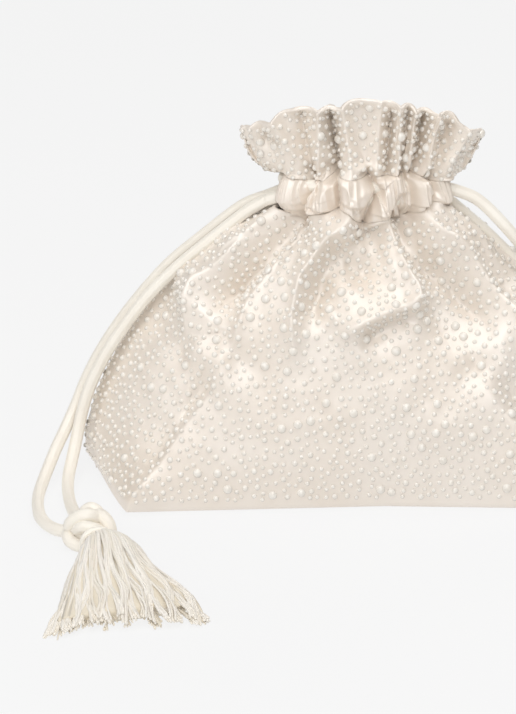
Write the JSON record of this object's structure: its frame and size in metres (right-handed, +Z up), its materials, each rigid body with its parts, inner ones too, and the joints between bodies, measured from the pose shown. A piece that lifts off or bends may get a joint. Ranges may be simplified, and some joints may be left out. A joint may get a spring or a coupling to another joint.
{
  "type": "drawstring evening bag",
  "caption": "Satin drawstring pouch with a flat base, gathered neck and ruffle covered in half pearls, and paired cords that end in knotted tassels.",
  "frame": {"origin": "middle of the flat base, on the surface it stands on", "axes": "+Z up, +X to the right along the bag's width, front face towards -Y"},
  "size_m": [0.2914, 0.2215, 0.184],
  "materials": {
    "satin": "ivory satin",
    "plain_satin": "champagne satin",
    "fleece": "soft fleece",
    "lining": "taffeta lining",
    "board": "stiff base board",
    "pearl": "pearl coating",
    "cord": "satin cord",
    "yarn": "matt plied yarn"
  },
  "bodies": {
    "base": {"base_panel": "satin", "base_board": "board", "lining_base": "lining", "left_drawstring": "cord", "right_drawstring": "cord", "left_strand_front": "cord", "left_strand_back": "cord", "right_strand_front": "cord", "right_strand_back": "cord"},
    "front_wall": {"outer_front": "satin", "interlining_front": "fleece", "lining_front": "lining", "casing_front": "plain_satin", "ruffle_front": "satin", "ruffle_facing_front": "plain_satin", "large_pearls_front": "pearl", "ruffle_pearls_front": "pearl"},
    "back_wall": {"outer_back": "satin", "interlining_back": "fleece", "lining_back": "lining", "casing_back": "plain_satin", "ruffle_back": "satin", "ruffle_facing_back": "plain_satin", "large_pearls_back": "pearl", "ruffle_pearls_back": "pearl"},
    "left_pull": {"left_knot": "cord"},
    "right_pull": {"right_knot": "cord"},
    "left_tassel": {"left_binding": "plain_satin", "left_tassel_head": "yarn", "left_tassel_skirt": "yarn"},
    "right_tassel": {"right_binding": "plain_satin", "right_tassel_head": "yarn", "right_tassel_skirt": "yarn"}
  },
  "joints": [
    {"name": "front_wall_open", "type": "hinge", "parent": "base", "child": "front_wall", "pos_m": [0, -0.0452, 0], "axis": [1, 0, 0], "range_deg": [0, 10], "deforming": ["left_drawstring", "right_drawstring"]},
    {"name": "back_wall_open", "type": "hinge", "parent": "base", "child": "back_wall", "pos_m": [0, 0.0452, 0], "axis": [-1, 0, 0], "range_deg": [0, 10]},
    {"name": "left_draw", "type": "slide", "parent": "base", "child": "left_pull", "axis": [-0.3419, 0.9397, 0], "range_m": [0, 0.031], "deforming": ["left_strand_front", "left_strand_back"]},
    {"name": "right_draw", "type": "slide", "parent": "base", "child": "right_pull", "axis": [0.3419, 0.9397, 0], "range_m": [0, 0.031], "deforming": ["right_strand_front", "right_strand_back"]},
    {"name": "left_tassel_swing", "type": "hinge", "parent": "left_pull", "child": "left_tassel", "pos_m": [-0.115, -0.09, 0.0092], "axis": [0, 0, 1], "range_deg": [-30, 30]},
    {"name": "right_tassel_swing", "type": "hinge", "parent": "right_pull", "child": "right_tassel", "pos_m": [0.115, -0.09, 0.0092], "axis": [0, 0, 1], "range_deg": [-30, 30]}
  ],
  "couplings": [
    {"joint": "back_wall_open", "follows": "front_wall_open", "ratio": 1},
    {"joint": "left_draw", "follows": "front_wall_open", "m_per_rad": 0.17189},
    {"joint": "right_draw", "follows": "front_wall_open", "m_per_rad": 0.17189}
  ]
}
